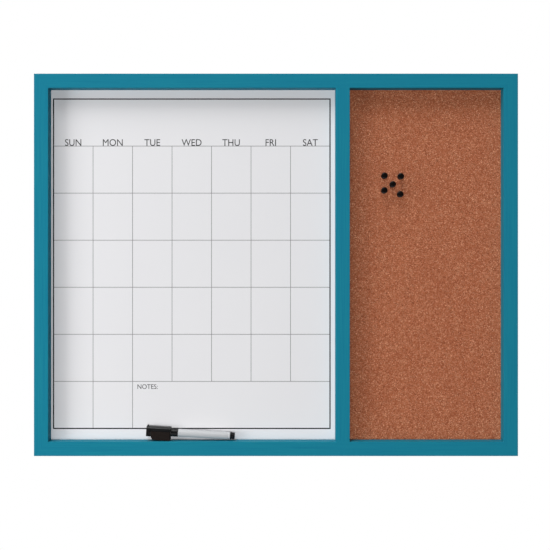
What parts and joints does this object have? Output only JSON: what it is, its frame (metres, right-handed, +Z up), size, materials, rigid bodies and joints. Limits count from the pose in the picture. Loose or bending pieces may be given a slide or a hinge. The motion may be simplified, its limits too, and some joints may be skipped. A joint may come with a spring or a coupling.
{
  "type": "combination bulletin board",
  "caption": "Framed wall board with a dry-erase month calendar panel beside a cork panel, push pins in the cork, and a capped marker with a felt eraser on the ledge.",
  "frame": {"origin": "on the wall plane that the rear bumpers rest on, behind the middle of the board's width and height", "axes": "+X to the right of a person facing the board, +Z up, and +Y into the wall, so the board faces -Y"},
  "size_m": [0.724, 0.037, 0.572],
  "materials": {
    "painted_wood": "teal satin paint over open-grained wood",
    "beech": "bare turned beech",
    "dry_erase": "glossy white dry-erase coating with a printed month grid",
    "hardboard": "plain brown hardboard",
    "cork": "fine-grained natural cork",
    "softboard": "grey fibre softboard",
    "zinc_steel": "zinc plated",
    "bright_steel": "bright nickel plated",
    "rubber": "matt black rubber",
    "pin_plastic": "glossy black moulded plastic",
    "cap_plastic": "semi-gloss black moulded plastic",
    "barrel_plastic": "satin silver-white plastic",
    "nozzle_plastic": "white moulded plastic",
    "ink_fibre": "ink-soaked fibre",
    "felt": "dark pressed felt",
    "ferrite": "dark sintered ferrite"
  },
  "bodies": {
    "board": {"frame_rail_top": "painted_wood", "frame_rail_bottom": "painted_wood", "frame_rail_left": "painted_wood", "frame_rail_right": "painted_wood", "centre_mullion": "painted_wood", "corner_nail_top_left": "zinc_steel", "corner_nail_top_right": "zinc_steel", "corner_nail_bottom_left": "zinc_steel", "corner_nail_bottom_right": "zinc_steel", "mullion_dowel_top": "beech", "mullion_dowel_bottom": "beech", "dry_erase_sheet": "dry_erase", "dry_erase_backing": "hardboard", "cork_sheet": "cork", "cork_backing": "softboard", "calendar_tab_1": "zinc_steel", "calendar_tab_2": "zinc_steel", "calendar_tab_3": "zinc_steel", "calendar_tab_4": "zinc_steel", "calendar_tab_5": "zinc_steel", "calendar_tab_6": "zinc_steel", "calendar_tab_7": "zinc_steel", "calendar_tab_8": "zinc_steel", "cork_tab_1": "zinc_steel", "cork_tab_2": "zinc_steel", "cork_tab_3": "zinc_steel", "cork_tab_4": "zinc_steel", "cork_tab_5": "zinc_steel", "cork_tab_6": "zinc_steel", "hanger_strap_left": "zinc_steel", "hanger_strap_right": "zinc_steel", "hanger_screw_left_1": "bright_steel", "hanger_screw_left_2": "bright_steel", "hanger_screw_right_1": "bright_steel", "hanger_screw_right_2": "bright_steel", "wall_bumper_top_left": "rubber", "wall_bumper_top_right": "rubber", "wall_bumper_bottom_left": "rubber", "wall_bumper_bottom_right": "rubber"},
    "pin_1": {"pin_head_1": "pin_plastic", "pin_needle_1": "bright_steel"},
    "pin_2": {"pin_head_2": "pin_plastic", "pin_needle_2": "bright_steel"},
    "pin_3": {"pin_head_3": "pin_plastic", "pin_needle_3": "bright_steel"},
    "pin_4": {"pin_head_4": "pin_plastic", "pin_needle_4": "bright_steel"},
    "pin_5": {"pin_head_5": "pin_plastic", "pin_needle_5": "bright_steel"},
    "marker": {"marker_barrel": "barrel_plastic", "marker_end_plug": "cap_plastic", "marker_nozzle": "nozzle_plastic", "marker_nib": "ink_fibre", "ink_reservoir": "ink_fibre"},
    "cap": {"marker_cap": "cap_plastic", "cap_eraser": "felt", "cap_magnet": "ferrite"},
    "ring_left": {"d_ring_left": "zinc_steel"},
    "ring_right": {"d_ring_right": "zinc_steel"}
  },
  "joints": [
    {"name": "pin_1_pull", "type": "slide", "parent": "board", "child": "pin_1", "axis": [0, -1, 0], "range_m": [0, 0.025]},
    {"name": "pin_2_pull", "type": "slide", "parent": "board", "child": "pin_2", "axis": [0, -1, 0], "range_m": [0, 0.025]},
    {"name": "pin_3_pull", "type": "slide", "parent": "board", "child": "pin_3", "axis": [0, -1, 0], "range_m": [0, 0.025]},
    {"name": "pin_4_pull", "type": "slide", "parent": "board", "child": "pin_4", "axis": [0, -1, 0], "range_m": [0, 0.025]},
    {"name": "pin_5_pull", "type": "slide", "parent": "board", "child": "pin_5", "axis": [0, -1, 0], "range_m": [0, 0.025]},
    {"name": "marker_lift", "type": "slide", "parent": "board", "child": "marker", "axis": [0, -1, 0], "range_m": [0, 0.06]},
    {"name": "cap_pull", "type": "slide", "parent": "marker", "child": "cap", "axis": [-0.9983, 0, 0.0576], "range_m": [0, 0.045]},
    {"name": "ring_left_swing", "type": "hinge", "parent": "board", "child": "ring_left", "pos_m": [-0.3543, -0.00275, 0.19], "axis": [1, 0, 0], "range_deg": [0, 180]},
    {"name": "ring_right_swing", "type": "hinge", "parent": "board", "child": "ring_right", "pos_m": [0.3543, -0.00275, 0.19], "axis": [1, 0, 0], "range_deg": [0, 180]}
  ]
}
